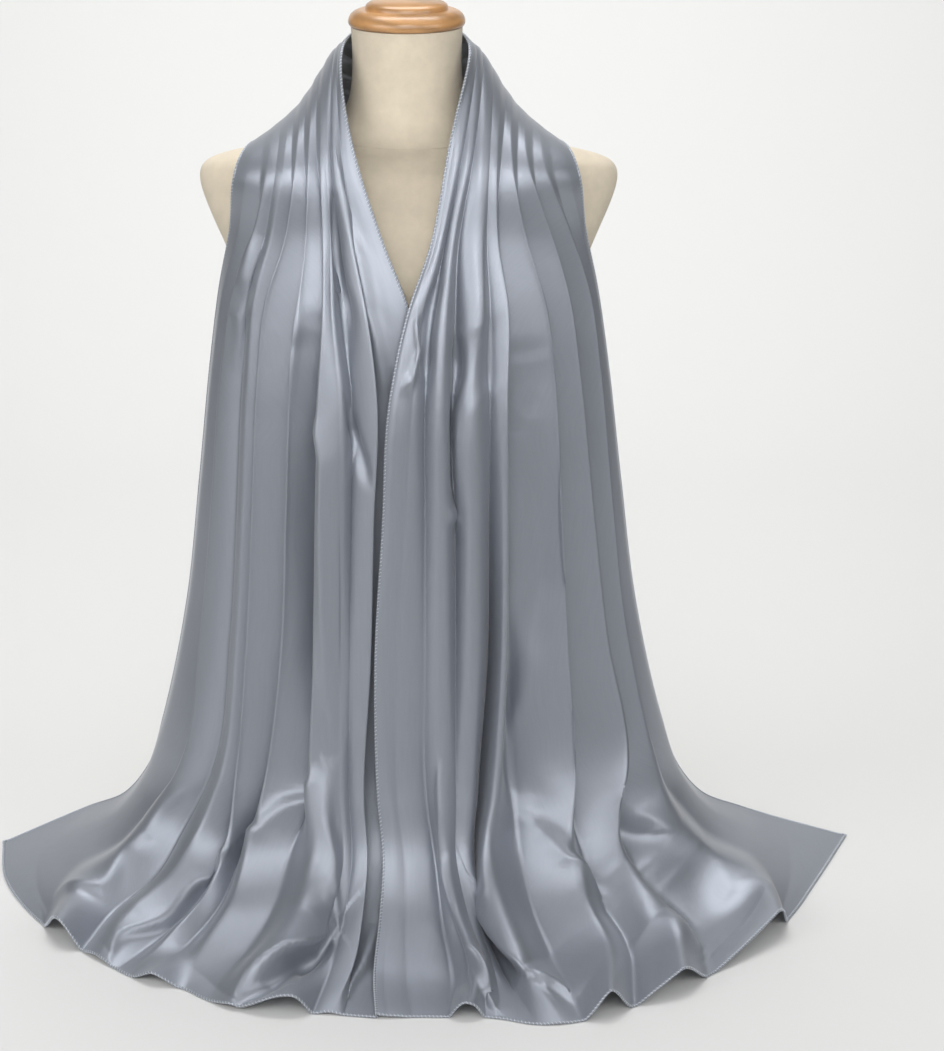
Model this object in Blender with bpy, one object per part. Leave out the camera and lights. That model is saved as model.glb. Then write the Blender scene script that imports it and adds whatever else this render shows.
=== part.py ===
"""Evening stole of satin, draped round the neck of a limbless dress form.

Metres, +Z up. The front faces -Y, and the form stands on the surface at z = 0.
The stole is one long strip of cloth. Sections cross it from its inner edge, beside the neck,
to its outer edge, at the shoulder, and fold lines run along it from one hem to the other.
"""

import math
from collections import namedtuple

import bmesh
import bpy
import numpy as np

MM = 0.001
WALL = 2.0 * MM
SEAM_GAP = 0.3 * MM
CLOTH_SEAM = 0.45 * MM
AXIS_Y = 0.030

LEFT = -1
RIGHT = 1
SHARP_ANGLE = math.radians(75.0)

SATIN = (0.325, 0.350, 0.400)
COVER = (0.780, 0.690, 0.560)
MAPLE = (0.720, 0.430, 0.180)

# Sections of the stole round the neck, in metres on the side of +X: four points of each one,
# from the inner edge, at the neck, to the outer edge, on the shoulder.
Band = namedtuple("Band", "name inner knee slope outer")
BANDS = (
    Band("nape", (0, 0.058, 0.752), (0, 0.068, 0.712), (0, 0.084, 0.672), (0, 0.100, 0.632)),
    Band(
        "nape side",
        (0.038, 0.046, 0.761),
        (0.055, 0.057, 0.728),
        (0.080, 0.071, 0.690),
        (0.112, 0.078, 0.651),
    ),
    Band(
        "crest",
        (0.0530, -0.012, 0.757),
        (0.0640, 0.016, 0.746),
        (0.0930, 0.023, 0.701),
        (0.1290, 0.014, 0.6702),
    ),
)
BAND_SHARES = (0.0, 0.30, 0.65, 1.0)

# Sections below the neck: height and reach from the form's axis, in front and at the side.
Fall = namedtuple("Fall", "name front_z front_reach side_reach side_z")
FALLS = (
    Fall("collar", 0.690, 0.098, 0.178, 0.640),
    Fall("chest", 0.605, 0.125, 0.163, 0.600),
    Fall("vee", 0.550, 0.145, 0.168, 0.548),
    Fall("bust", 0.480, 0.160, 0.175, 0.480),
    Fall("waist", 0.370, 0.166, 0.187, 0.370),
    Fall("hip", 0.250, 0.171, 0.202, 0.250),
    Fall("low", 0.130, 0.181, 0.229, 0.130),
    Fall("break", 0.075, 0.198, 0.249, 0.072),
    Fall("spread", 0.038, 0.228, 0.274, 0.040),
    Fall("floor", 0.014, 0.275, 0.315, 0.019),
    Fall("hem", 0.000, 0.345, 0.370, 0.000),
)

# Fold lines from the inner to the outer edge: bearings in degrees from the front, outwards on
# the line's own side, how many degrees the line is tucked under the fold before it, how much
# farther out it ends at the hem, and how far it stands off the section, both in millimetres.
BEARINGS = ("collar", "chest", "vee", "bust", "hip", "low", "break", "floor", "hem")
STANDOFFS = ("crest", "chest", "bust", "hip", "low", "floor", "hem")
TUCKED = ("collar", "chest", "vee", "low", "break", "hem")
TUCK_SHARES = (0.0, 0.5, 1.0, 0.8, 0.0, 0.0)
Line = namedtuple("Line", "name bearings tuck flare standoffs")
LEFT_LINES = (
    Line("inner edge", (24, 9, -1, -5, -5, -4, 0, 3, 4), 0, -5, (0, -2, -12, -12, -12, -5, 0)),
    Line("flap", (26, 14, 6, 3, 4, 4, 5, 5, 6), 0, -6, (1, 0, -10, -11, -11, -5, 0)),
    Line("tuck", (28, 20.5, 14.5, 11.5, 13.5, 14, 13, 10, 8.5), 0, -7, (-1, -5, -9, -10, -10, -3, 0)),
    Line("fold edge", (30, 20.5, 13, 8.5, 10.5, 12, 10, 9, 10.5), 0, -8, (1, 5, 5, 5, 6, 9, 3)),
    Line("front valley", (31.5, 26, 22, 17, 16.5, 16, 14, 13, 13), 0, -6, (-2, -6, -6, 0, 0, 4, 0)),
    Line("hem wave", (33, 28, 24, 19.5, 19, 18, 16, 17, 16), 0, -3, (2, 4, 6, 4, 6, 5, 19)),
    Line("front ridge", (34.5, 30, 26, 25, 25.5, 25, 21, 21, 23), 0, 4, (2, 9, 11, 12, 12, 22, 4)),
    Line("deep valley", (36.5, 32, 28, 27, 28, 30, 30, 28, 29), 6, -3, (-2, -11, -14, -13, -8, 4, 0)),
    Line("chest ridge", (38.5, 36.5, 35, 35, 36, 38.5, 39, 36, 33), 0, -10, (3, 7, 7, 6, 4, 5, 0)),
    Line("thin valley", (40.5, 38, 37, 37, 38, 41, 43, 40, 38), 5, -6, (-3, -11, -13, -13, -13, -2, 12)),
    Line("side ridge", (42.5, 44, 47, 47, 47, 46, 44.5, 43, 42), 0, -4, (3, 7, 7, 6, 7, 5, 0)),
    Line("side valley", (44.5, 46, 49, 49, 48.5, 47, 47, 46, 45), 5, -6, (-3, -11, -13, -13, -13, -4, 0)),
    Line("floor ridge", (46.5, 50, 53, 53, 52, 51, 53, 52, 49), 0, -9, (2, 3, 1, 0, 3, 12, 5)),
    Line("floor valley", (49, 53, 56, 57, 56, 56, 60, 58, 53), 0, -8, (0, -1, -3, -3, -4, -4, 0)),
    Line("shoulder ridge", (51.5, 57, 62, 64, 65, 64, 68, 66, 57), 0, -7, (2, 7, 7, 6, 6, 12, 26)),
    Line("outer valley", (54.5, 60, 65, 67, 68, 69, 76, 76, 64), 4, -5, (-2, -10, -10, -10, -7, 0, 0)),
    Line("outer panel", (59, 66, 72, 76, 80, 82, 88, 90, 80), 0, 5, (1, 1, 1, 1, 1, 0, 0)),
    Line("outer edge", (64, 72, 77, 82, 89, 93, 98, 101, 93), 0, 14, (0, 0, 0, 0, 0, 0, 0)),
)
RIGHT_LINES = (
    Line("inner edge", (20, 10, 1, -4.5, -9, -8, -6, -5.5, -4), 0, -6, (0, 0, 3, 3, 4, 4, 4)),
    Line("lip", (21.5, 11.5, 2.5, -2, -7, -6, -4, -4, -2.5), 0, -6, (0, 2, 6, 4, 5, 3, 3)),
    Line("front band", (23.5, 13, 5, 2, -3, -3, -1, 0, 1), 0, -7, (1, 4, 3, 2, 2, 0, 0)),
    Line("front valley", (25.5, 15, 9, 6, 5, 5, 7, 8, 6), 0, -5, (-1, -6, -6, -3, -3, -5, 0)),
    Line("front ridge", (27.5, 17.5, 12.5, 10, 10, 9.5, 9.5, 11.5, 8.5), 0, -3, (2, 4, 6, 4, 6, 12, 17)),
    Line("pinch", (29.5, 20, 17, 15.5, 14, 13, 12, 13.5, 11), 0, -1, (-2, -8, -13, -4, 0, 4, 0)),
    Line("broad ridge", (32, 27, 24, 20, 18, 16, 14, 15, 13), 0, 4, (2, 7, 7, 6, 3, 0, 0)),
    Line("lower valley", (34.5, 30, 28, 26, 25, 20, 17, 17, 17), 0, 20, (0, 0, -4, -13, -13, -5, 0)),
    Line("lower ridge", (36.5, 33.5, 33, 30, 27, 23, 19, 19.5, 20), 0, 25, (2, 6, 7, 6, 8, 12, 2)),
    Line("long valley", (38.5, 36, 36, 36, 35.5, 34, 29, 26, 23), 5, 26, (-3, -11, -14, -14, -14, -2, 0)),
    Line("chest ridge", (41, 43.5, 46, 46.5, 46, 44, 39, 35, 26.5), 0, 23, (3, 8, 7, 7, 7, 14, 26)),
    Line("wedge valley", (43.5, 45.5, 47.5, 49, 48.5, 47, 44, 40, 31), 5, 19, (-3, -11, -13, -11, -8, 0, 0)),
    Line("side ridge", (46, 53.5, 56, 57, 60, 60, 51, 48, 38), 0, 15, (2, 7, 7, 7, 7, 14, 25)),
    Line("side valley", (48.5, 55.5, 58, 59, 62.5, 62, 57, 54, 45), 5, 8, (-2, -11, -14, -13, -13, -4, 0)),
    Line("outer ridge", (51.5, 62, 67, 69, 71, 71, 70, 70, 60), 0, 0, (2, 6, 6, 4, 6, 12, 26)),
    Line("outer valley", (55, 66, 70, 72, 75, 78, 82, 80, 66), 4, 0, (-2, -8, -10, -10, -7, 0, 0)),
    Line("outer panel", (59.5, 69.5, 74.5, 79, 83.5, 87, 91, 91, 80), 0, 5, (1, 1, 1, 1, 1, 0, 0)),
    Line("outer edge", (64, 72, 77, 82, 89, 93, 98, 101, 95), 0, 38, (0, 0, 0, 0, 0, 0, 0)),
)
NAPE_GATHER = 3.0
VALLEY_DEPTHS = (1.0, 1.0, 1.2, 1.7, 1.7, 1.2, 1.0)
CREST_EASE = 0.30
COLLAR_EASE = 0.35
COLLAR_TURN = 1.25
CHEST_EASE = 0.60
SHARE_STEP = 0.02

# Where each stretch of the stole begins and ends, counted in sections from the nape.
Stretch = namedtuple("Stretch", "node start end rows")
CREST = 2
BREAK = 10
HEM = 13
STRETCHES = (
    Stretch("stole_neck", -CREST, CREST, 12),
    Stretch("stole_left_fall", -BREAK, -CREST, 20),
    Stretch("stole_right_fall", CREST, BREAK, 20),
    Stretch("stole_left_train", -HEM, -BREAK, 10),
    Stretch("stole_right_train", BREAK, HEM, 10),
)
COLUMNS_PER_FOLD_LINE = 2

# Level sections of the dress form: height, half width, front, back, and how far its sides are
# set back from its middle.
Level = namedtuple("Level", "z half_width front back set_back")
FORM = (
    Level(0.000, 0.146, -0.078, 0.112, 0.000),
    Level(0.090, 0.152, -0.084, 0.122, 0.000),
    Level(0.180, 0.150, -0.086, 0.122, 0.000),
    Level(0.280, 0.130, -0.080, 0.098, 0.000),
    Level(0.370, 0.116, -0.078, 0.082, 0.000),
    Level(0.450, 0.130, -0.092, 0.084, 0.004),
    Level(0.510, 0.142, -0.098, 0.088, 0.010),
    Level(0.560, 0.152, -0.088, 0.088, 0.018),
    Level(0.600, 0.171, -0.070, 0.082, 0.026),
    Level(0.622, 0.180, -0.056, 0.076, 0.028),
    Level(0.638, 0.183, -0.047, 0.070, 0.028),
    Level(0.649, 0.177, -0.042, 0.064, 0.026),
    Level(0.657, 0.158, -0.042, 0.060, 0.022),
    Level(0.664, 0.128, -0.043, 0.057, 0.016),
    Level(0.673, 0.094, -0.047, 0.054, 0.010),
    Level(0.686, 0.066, -0.050, 0.052, 0.004),
    Level(0.702, 0.0515, -0.0485, 0.0495, 0.000),
    Level(0.725, 0.0470, -0.0465, 0.0475, 0.000),
    Level(0.750, 0.0465, -0.0460, 0.0465, 0.000),
    Level(0.770, 0.0475, -0.0475, 0.0475, 0.000),
)
FORM_AROUND = 36
FORM_ROWS = 27
NECK_JOINT = (0.0, 0.0, 0.684)
NECK_TILT = math.radians(13.0)

# Half outline of the turned cap, from the axis out and up: reach, height over the neck.
CAP_OUTLINE = (
    (0.0480, 0.0000),
    (0.0495, 0.0030),
    (0.0490, 0.0075),
    (0.0455, 0.0118),
    (0.0390, 0.0140),
    (0.0355, 0.0142),
    (0.0348, 0.0165),
    (0.0330, 0.0190),
    (0.0220, 0.0215),
    (0.0110, 0.0225),
)
CAP_AROUND = 32


def clear_scene():
    for old in list(bpy.data.objects):
        bpy.data.objects.remove(old, do_unlink=True)


def make_material(name, colour, roughness, sheen):
    material = bpy.data.materials.new(name)
    material.use_nodes = True
    shader = material.node_tree.nodes["Principled BSDF"]
    shader.inputs["Base Color"].default_value = (*colour, 1.0)
    shader.inputs["Roughness"].default_value = roughness
    shader.inputs["Sheen Weight"].default_value = sheen
    return material


def smooth_through(knots, values, at):
    """Values at the places asked for, on a smooth curve through the rows of values."""
    knots = np.asarray(knots, float)
    values = np.asarray(values, float)
    at = np.asarray(at, float)
    step = np.diff(knots)
    slope = np.diff(values, axis=0) / step[:, None]
    tangent = np.empty_like(values)
    share = (step[:-1] / (step[:-1] + step[1:]))[:, None]
    tangent[1:-1] = slope[:-1] * (1 - share) + slope[1:] * share
    tangent[0] = slope[0]
    tangent[-1] = slope[-1]
    left = np.clip(np.searchsorted(knots, at, side="right") - 1, 0, len(step) - 1)
    width = step[left][:, None]
    f = ((at - knots[left]) / step[left])[:, None]
    f2 = f * f
    f3 = f2 * f
    return (
        values[left] * (2 * f3 - 3 * f2 + 1)
        + tangent[left] * width * (f3 - 2 * f2 + f)
        + values[left + 1] * (3 * f2 - 2 * f3)
        + tangent[left + 1] * width * (f3 - f2)
    )


def band_point(band, side, share):
    """A point of a section round the neck, at a share of the way to its outer edge."""
    table = (band.inner, band.knee, band.slope, band.outer)
    point = smooth_through(BAND_SHARES, table, [share])[0]
    point[0] *= side
    return point


def fall_point(fall, side, bearing, flare=0.0):
    """A point of a section below the neck, at a bearing in degrees from the front."""
    turn = math.radians(bearing)
    sideways = math.sin(min(abs(turn), math.pi / 2)) ** 2
    reach = fall.front_reach + (fall.side_reach - fall.front_reach) * sideways + flare
    height = fall.front_z + (fall.side_z - fall.front_z) * sideways
    return np.array((side * reach * math.sin(turn), AXIS_Y - reach * math.cos(turn), height))


def per_section(names, values, sections):
    """One value for each section, straight between the sections that a table names."""
    places = [sections.index(name) for name in names]
    return np.interp(range(len(sections)), places, values)


def section_point(index, side, share, edges, flare=0.0):
    """A point of the unfolded cloth, at a share of the way from its inner to its outer edge."""
    if index < len(BANDS):
        return band_point(BANDS[index], side, share)
    row = index - len(BANDS)
    bearing = edges[0][row] + (edges[1][row] - edges[0][row]) * share
    return fall_point(FALLS[row], side, bearing, flare)


def guide_points(side, lines):
    """Where every fold line crosses every section: lines by sections by three."""
    band_names = [band.name for band in BANDS]
    fall_names = [fall.name for fall in FALLS]
    sections = band_names + fall_names
    tucks = per_section(TUCKED, TUCK_SHARES, fall_names)
    bearings = [
        per_section(BEARINGS, line.bearings, fall_names) - line.tuck * tucks for line in lines
    ]
    edges = (bearings[0], bearings[-1])
    depths = per_section(STANDOFFS, VALLEY_DEPTHS, sections)
    points = np.empty((len(lines), len(sections), 3))
    for number, line in enumerate(lines):
        even_share = number / (len(lines) - 1)
        standoffs = per_section(STANDOFFS, line.standoffs, sections)
        standoffs = np.where(standoffs < 0, standoffs * depths, standoffs)
        standoffs[0] = NAPE_GATHER if number % 2 else -NAPE_GATHER
        standoffs[2] *= CREST_EASE * (1 - even_share)
        standoffs[1] = (standoffs[0] + standoffs[2]) / 2
        standoffs[len(BANDS)] *= COLLAR_EASE * (COLLAR_TURN - even_share)
        standoffs[len(BANDS) + 1] *= CHEST_EASE
        for index in range(len(sections)):
            share = even_share
            if index >= len(BANDS):
                row = index - len(BANDS)
                span = edges[1][row] - edges[0][row]
                share = (bearings[number][row] - edges[0][row]) / span
            at_hem = index == len(sections) - 1
            flare = lines[number].flare * MM if at_hem else 0.0
            here = section_point(index, side, share, edges, flare)
            step = SHARE_STEP
            across = section_point(index, side, share + step, edges)
            across -= section_point(index, side, share - step, edges)
            after = min(index + 1, len(sections) - 1)
            before = max(index - 1, 0)
            along = section_point(after, side, share, edges)
            along -= section_point(before, side, share, edges)
            outward = np.cross(along, across) * side
            outward /= np.linalg.norm(outward)
            points[number, index] = here + outward * standoffs[index] * MM
    return points


def whole_stole():
    """Fold lines by sections, from the left hem over the nape to the right hem."""
    left = guide_points(LEFT, LEFT_LINES)[:, ::-1]
    right = guide_points(RIGHT, RIGHT_LINES)
    nape = (left[:, -1:] + right[:, :1]) / 2
    return np.concatenate([left[:, :-1], nape, right[:, 1:]], axis=1)


def surface_at(guides, lengths, places):
    """Points of the middle of the cloth: a row for each place along it, columns across it."""
    lines, sections, _ = guides.shape
    flat = guides.transpose(1, 0, 2).reshape(sections, -1)
    crossings = smooth_through(lengths, flat, places).reshape(len(places), lines, 3)
    columns = COLUMNS_PER_FOLD_LINE * (lines - 1) + 1
    surface = np.empty((len(places), columns, 3))
    for row, crossing in enumerate(crossings):
        gaps = np.linalg.norm(np.diff(crossing, axis=0), axis=1)
        knots = np.concatenate([[0.0], np.cumsum(gaps)])
        across = np.interp(np.linspace(0, lines - 1, columns), range(lines), knots)
        surface[row] = smooth_through(knots, crossing, across)
    surface[..., 2] = np.maximum(surface[..., 2], WALL / 2)
    return surface


def turning_tangent(grid):
    """Direction across the cloth at each point, halfway between those of the two sides of it."""
    steps = np.diff(grid, axis=1)
    steps /= np.linalg.norm(steps, axis=2, keepdims=True)
    before = np.concatenate([steps[:, :1], steps], axis=1)
    after = np.concatenate([steps, steps[:, -1:]], axis=1)
    return before + after


def cloth_grid(guides, stretch):
    """Middle of one stretch of the cloth and its normals."""
    spans = np.linalg.norm(np.diff(guides, axis=1), axis=2).mean(axis=0)
    lengths = np.concatenate([[0.0], np.cumsum(spans)])
    first = lengths[stretch.start + HEM]
    last = lengths[stretch.end + HEM]
    first += CLOTH_SEAM / 2 if stretch.start > -HEM else 0.0
    last -= CLOTH_SEAM / 2 if stretch.end < HEM else 0.0
    places = np.linspace(first, last, stretch.rows + 1)
    grid = surface_at(guides, lengths, places)
    ahead = surface_at(guides, lengths, np.minimum(places + CLOTH_SEAM, lengths[-1]))
    behind = surface_at(guides, lengths, np.maximum(places - CLOTH_SEAM, 0.0))
    normal = np.cross(ahead - behind, turning_tangent(grid))
    return grid, normal / np.linalg.norm(normal, axis=2, keepdims=True)


def add_wall(node, grid, normal, material):
    """A closed wall of cloth round the middle surface."""
    outside = grid + normal * WALL / 2
    inside = grid - normal * WALL / 2
    for layer in (outside, inside):
        layer[..., 2] = np.maximum(layer[..., 2], 0.0)
    rows, columns, _ = grid.shape
    mesh = bmesh.new()
    faces = []
    layers = []
    for layer in (outside, inside):
        layers.append([[mesh.verts.new(point) for point in row] for row in layer])
    top, under = layers
    for r in range(rows - 1):
        for c in range(columns - 1):
            faces.append((top[r][c], top[r + 1][c], top[r + 1][c + 1], top[r][c + 1]))
            faces.append((under[r][c], under[r][c + 1], under[r + 1][c + 1], under[r + 1][c]))
        faces.append((top[r][0], under[r][0], under[r + 1][0], top[r + 1][0]))
        faces.append((top[r][-1], top[r + 1][-1], under[r + 1][-1], under[r][-1]))
    for c in range(columns - 1):
        faces.append((top[0][c], top[0][c + 1], under[0][c + 1], under[0][c]))
        faces.append((top[-1][c], under[-1][c], under[-1][c + 1], top[-1][c + 1]))
    for corners in faces:
        mesh.faces.new(corners)
    bmesh.ops.triangulate(mesh, faces=mesh.faces[:])
    return add_object(node, mesh, material)


def add_object(node, mesh, material):
    bmesh.ops.recalc_face_normals(mesh, faces=mesh.faces[:])
    data = bpy.data.meshes.new(node)
    mesh.to_mesh(data)
    mesh.free()
    data.materials.append(material)
    data.shade_smooth()
    data.set_sharp_from_angle(angle=SHARP_ANGLE)
    made = bpy.data.objects.new(node, data)
    bpy.context.collection.objects.link(made)
    return made


def loft(rings):
    """A closed body through level rings of points, flat at both ends."""
    mesh = bmesh.new()
    loops = [[mesh.verts.new(point) for point in ring] for ring in rings]
    count = len(loops[0])
    for low, high in zip(loops, loops[1:]):
        for c in range(count):
            after = (c + 1) % count
            mesh.faces.new((low[c], low[after], high[after], high[c]))
    mesh.faces.new(loops[0][::-1])
    mesh.faces.new(loops[-1])
    return mesh


def form_rings():
    heights = [level.z for level in FORM]
    table = [level[1:] for level in FORM]
    even = np.linspace(0, len(FORM) - 1, FORM_ROWS)
    places = np.interp(even, range(len(FORM)), heights)
    rings = []
    for z, row in zip(places, smooth_through(heights, table, places)):
        half_width, front, back, set_back = row
        middle = (front + back) / 2
        depth = (back - front) / 2
        ring = []
        for step in range(FORM_AROUND):
            turn = 2 * math.pi * step / FORM_AROUND
            y = middle + depth * math.sin(turn) + set_back * math.cos(turn) ** 2
            ring.append((half_width * math.cos(turn), y, z))
        rings.append(ring)
    return rings


def add_form_piece(node, above, material):
    """The part of the form over or under its slanting neck joint."""
    mesh = loft(form_rings())
    slant = (0.0, -math.sin(NECK_TILT), math.cos(NECK_TILT))
    half_gap = SEAM_GAP / 2 if above else -SEAM_GAP / 2
    bmesh.ops.bisect_plane(
        mesh,
        geom=mesh.verts[:] + mesh.edges[:] + mesh.faces[:],
        plane_co=[place + half_gap * part for place, part in zip(NECK_JOINT, slant)],
        plane_no=slant,
        clear_inner=above,
        clear_outer=not above,
    )
    open_edges = [edge for edge in mesh.edges if edge.is_boundary]
    bmesh.ops.holes_fill(mesh, edges=open_edges)
    return add_object(node, mesh, material)


def add_cap(node, material):
    base = FORM[-1].z + SEAM_GAP
    rings = []
    for reach, height in CAP_OUTLINE:
        turns = [2 * math.pi * step / CAP_AROUND for step in range(CAP_AROUND)]
        ring = [(reach * math.cos(a), reach * math.sin(a), base + height) for a in turns]
        rings.append(ring)
    return add_object(node, loft(rings), material)


def main():
    clear_scene()
    satin = make_material("satin", SATIN, 0.32, 0.3)
    cover = make_material("form cover", COVER, 0.8, 0.2)
    maple = make_material("maple", MAPLE, 0.4, 0.0)
    guides = whole_stole()
    for stretch in STRETCHES:
        grid, normal = cloth_grid(guides, stretch)
        add_wall(stretch.node, grid, normal, satin)
    add_form_piece("form_body", False, cover)
    add_form_piece("form_neck", True, cover)
    add_cap("form_cap", maple)


main()
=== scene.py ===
"""Evening stole of satin on a limbless dress form: the finished look.

One strip of thin satin follows the fold lines of the five stretches of cloth in the frame, with
its creases, its overlocked edge and its weave. Smooth copies of the frame's body and neck carry the
form's woven cover, and its neck cap is turned anew in maple.
"""

import math
from collections import namedtuple

import bpy
import numpy as np
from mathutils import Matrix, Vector


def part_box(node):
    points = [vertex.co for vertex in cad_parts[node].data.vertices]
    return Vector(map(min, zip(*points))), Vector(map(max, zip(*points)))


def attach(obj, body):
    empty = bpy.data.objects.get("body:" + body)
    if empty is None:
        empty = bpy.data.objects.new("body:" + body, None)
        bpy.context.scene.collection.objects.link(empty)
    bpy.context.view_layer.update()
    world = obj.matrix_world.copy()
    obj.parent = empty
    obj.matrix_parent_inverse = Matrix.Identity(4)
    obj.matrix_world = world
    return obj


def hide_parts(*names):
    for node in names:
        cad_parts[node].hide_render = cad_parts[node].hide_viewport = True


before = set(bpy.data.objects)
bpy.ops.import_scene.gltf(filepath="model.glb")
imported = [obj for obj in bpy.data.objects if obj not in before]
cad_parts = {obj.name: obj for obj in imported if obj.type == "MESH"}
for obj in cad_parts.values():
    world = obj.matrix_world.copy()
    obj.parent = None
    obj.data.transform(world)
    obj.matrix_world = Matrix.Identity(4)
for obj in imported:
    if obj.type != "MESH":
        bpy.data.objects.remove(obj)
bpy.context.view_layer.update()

bl_info = {
    "name": "Evening stole on a dress form",
    "version": (1, 0, 0),
    "blender": (4, 5, 0),
    "location": "View3D > Sidebar > Stole",
    "description": "Drapes a satin stole round the neck of a dress form and dresses its stage",
    "category": "Add Mesh",
}

MM = 0.001
LEFT = -1
RIGHT = 1
AXIS_Y = 0.030
LEFT_NODES = ("stole_left_fall", "stole_left_train")
RIGHT_NODES = ("stole_neck", "stole_right_fall", "stole_right_train")
FORM_COVERS = (("body_cover", "form_body"), ("neck_cover", "form_neck"))
CAP_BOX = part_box("form_cap")
LENGTH = {"unit": "LENGTH", "subtype": "DISTANCE"}
COLOUR = {"subtype": "COLOR", "size": 3, "min": 0.0, "max": 1.0}

# Sections of the stole round the neck, in metres on the side of +X: four points of each one,
# from the inner edge, at the neck, to the outer edge, on the shoulder.
Band = namedtuple("Band", "name inner knee slope outer")
BANDS = (
    Band("nape", (0, 0.058, 0.752), (0, 0.068, 0.712), (0, 0.084, 0.672), (0, 0.100, 0.632)),
    Band(
        "nape side",
        (0.038, 0.046, 0.761),
        (0.055, 0.057, 0.728),
        (0.080, 0.071, 0.690),
        (0.112, 0.078, 0.651),
    ),
    Band(
        "crest",
        (0.0530, -0.012, 0.757),
        (0.0640, 0.016, 0.746),
        (0.0930, 0.023, 0.701),
        (0.1290, 0.014, 0.6702),
    ),
)
BAND_SHARES = (0.0, 0.30, 0.65, 1.0)

# Sections below the neck: height and reach from the form's axis, in front and at the side, and
# how many rows of the mesh lead to each one from the section before it.
Fall = namedtuple("Fall", "name front_z front_reach side_reach side_z rows")
FALLS = (
    Fall("collar", 0.690, 0.098, 0.178, 0.640, 22),
    Fall("chest", 0.605, 0.125, 0.163, 0.600, 22),
    Fall("vee", 0.550, 0.145, 0.168, 0.548, 16),
    Fall("bust", 0.480, 0.160, 0.175, 0.480, 18),
    Fall("waist", 0.370, 0.166, 0.187, 0.370, 18),
    Fall("hip", 0.250, 0.171, 0.202, 0.250, 16),
    Fall("low", 0.130, 0.181, 0.229, 0.130, 20),
    Fall("break", 0.075, 0.198, 0.249, 0.072, 16),
    Fall("spread", 0.038, 0.228, 0.274, 0.040, 18),
    Fall("floor", 0.014, 0.275, 0.315, 0.019, 22),
    Fall("hem", 0.000, 0.345, 0.370, 0.000, 34),
)
BAND_ROWS = (10, 12)

# Fold lines from the inner to the outer edge: bearings in degrees from the front, outwards on
# the line's own side, how many degrees the line is tucked under the fold before it, how much
# farther out it ends at the hem, and how far it stands off the section, both in millimetres.
BEARINGS = ("collar", "chest", "vee", "bust", "hip", "low", "break", "floor", "hem")
STANDOFFS = ("crest", "chest", "bust", "hip", "low", "floor", "hem")
TUCKED = ("collar", "chest", "vee", "low", "break", "hem")
TUCK_SHARES = (0.0, 0.5, 1.0, 0.8, 0.0, 0.0)
Line = namedtuple("Line", "name bearings tuck flare standoffs")
LEFT_LINES = (
    Line("inner edge", (24, 9, -1, -5, -5, -4, 0, 3, 4), 0, -5, (0, -2, -12, -12, -12, -5, 0)),
    Line("flap", (26, 14, 6, 3, 4, 4, 5, 5, 6), 0, -6, (1, 0, -10, -11, -11, -5, 0)),
    Line(
        "tuck", (28, 20.5, 14.5, 11.5, 13.5, 14, 13, 10, 8.5), 0, -7,
        (-1, -5, -9, -10, -10, -3, 0),
    ),
    Line("fold edge", (30, 20.5, 13, 8.5, 10.5, 12, 10, 9, 10.5), 0, -8, (1, 5, 5, 5, 6, 9, 3)),
    Line("front valley", (31.5, 26, 22, 17, 16.5, 16, 14, 13, 13), 0, -6, (-2, -6, -6, 0, 0, 4, 0)),
    Line("hem wave", (33, 28, 24, 19.5, 19, 18, 16, 17, 16), 0, -3, (2, 4, 6, 4, 6, 5, 19)),
    Line("front ridge", (34.5, 30, 26, 25, 25.5, 25, 21, 21, 23), 0, 4, (2, 9, 11, 12, 12, 22, 4)),
    Line(
        "deep valley", (36.5, 32, 28, 27, 28, 30, 30, 28, 29), 6, -3,
        (-2, -11, -14, -13, -8, 4, 0),
    ),
    Line("chest ridge", (38.5, 36.5, 35, 35, 36, 38.5, 39, 36, 33), 0, -10, (3, 7, 7, 6, 4, 5, 0)),
    Line(
        "thin valley", (40.5, 38, 37, 37, 38, 41, 43, 40, 38), 5, -6,
        (-3, -11, -13, -13, -13, -2, 12),
    ),
    Line("side ridge", (42.5, 44, 47, 47, 47, 46, 44.5, 43, 42), 0, -4, (3, 7, 7, 6, 7, 5, 0)),
    Line(
        "side valley", (44.5, 46, 49, 49, 48.5, 47, 47, 46, 45), 5, -6,
        (-3, -11, -13, -13, -13, -4, 0),
    ),
    Line("floor ridge", (46.5, 50, 53, 53, 52, 51, 53, 52, 49), 0, -9, (2, 3, 1, 0, 3, 12, 5)),
    Line("floor valley", (49, 53, 56, 57, 56, 56, 60, 58, 53), 0, -8, (0, -1, -3, -3, -4, -4, 0)),
    Line("shoulder ridge", (51.5, 57, 62, 64, 65, 64, 68, 66, 57), 0, -7, (2, 7, 7, 6, 6, 12, 26)),
    Line(
        "outer valley", (54.5, 60, 65, 67, 68, 69, 76, 76, 64), 4, -5,
        (-2, -10, -10, -10, -7, 0, 0),
    ),
    Line("outer panel", (59, 66, 72, 76, 80, 82, 88, 90, 80), 0, 5, (1, 1, 1, 1, 1, 0, 0)),
    Line("outer edge", (64, 72, 77, 82, 89, 93, 98, 101, 93), 0, 14, (0, 0, 0, 0, 0, 0, 0)),
)
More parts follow.
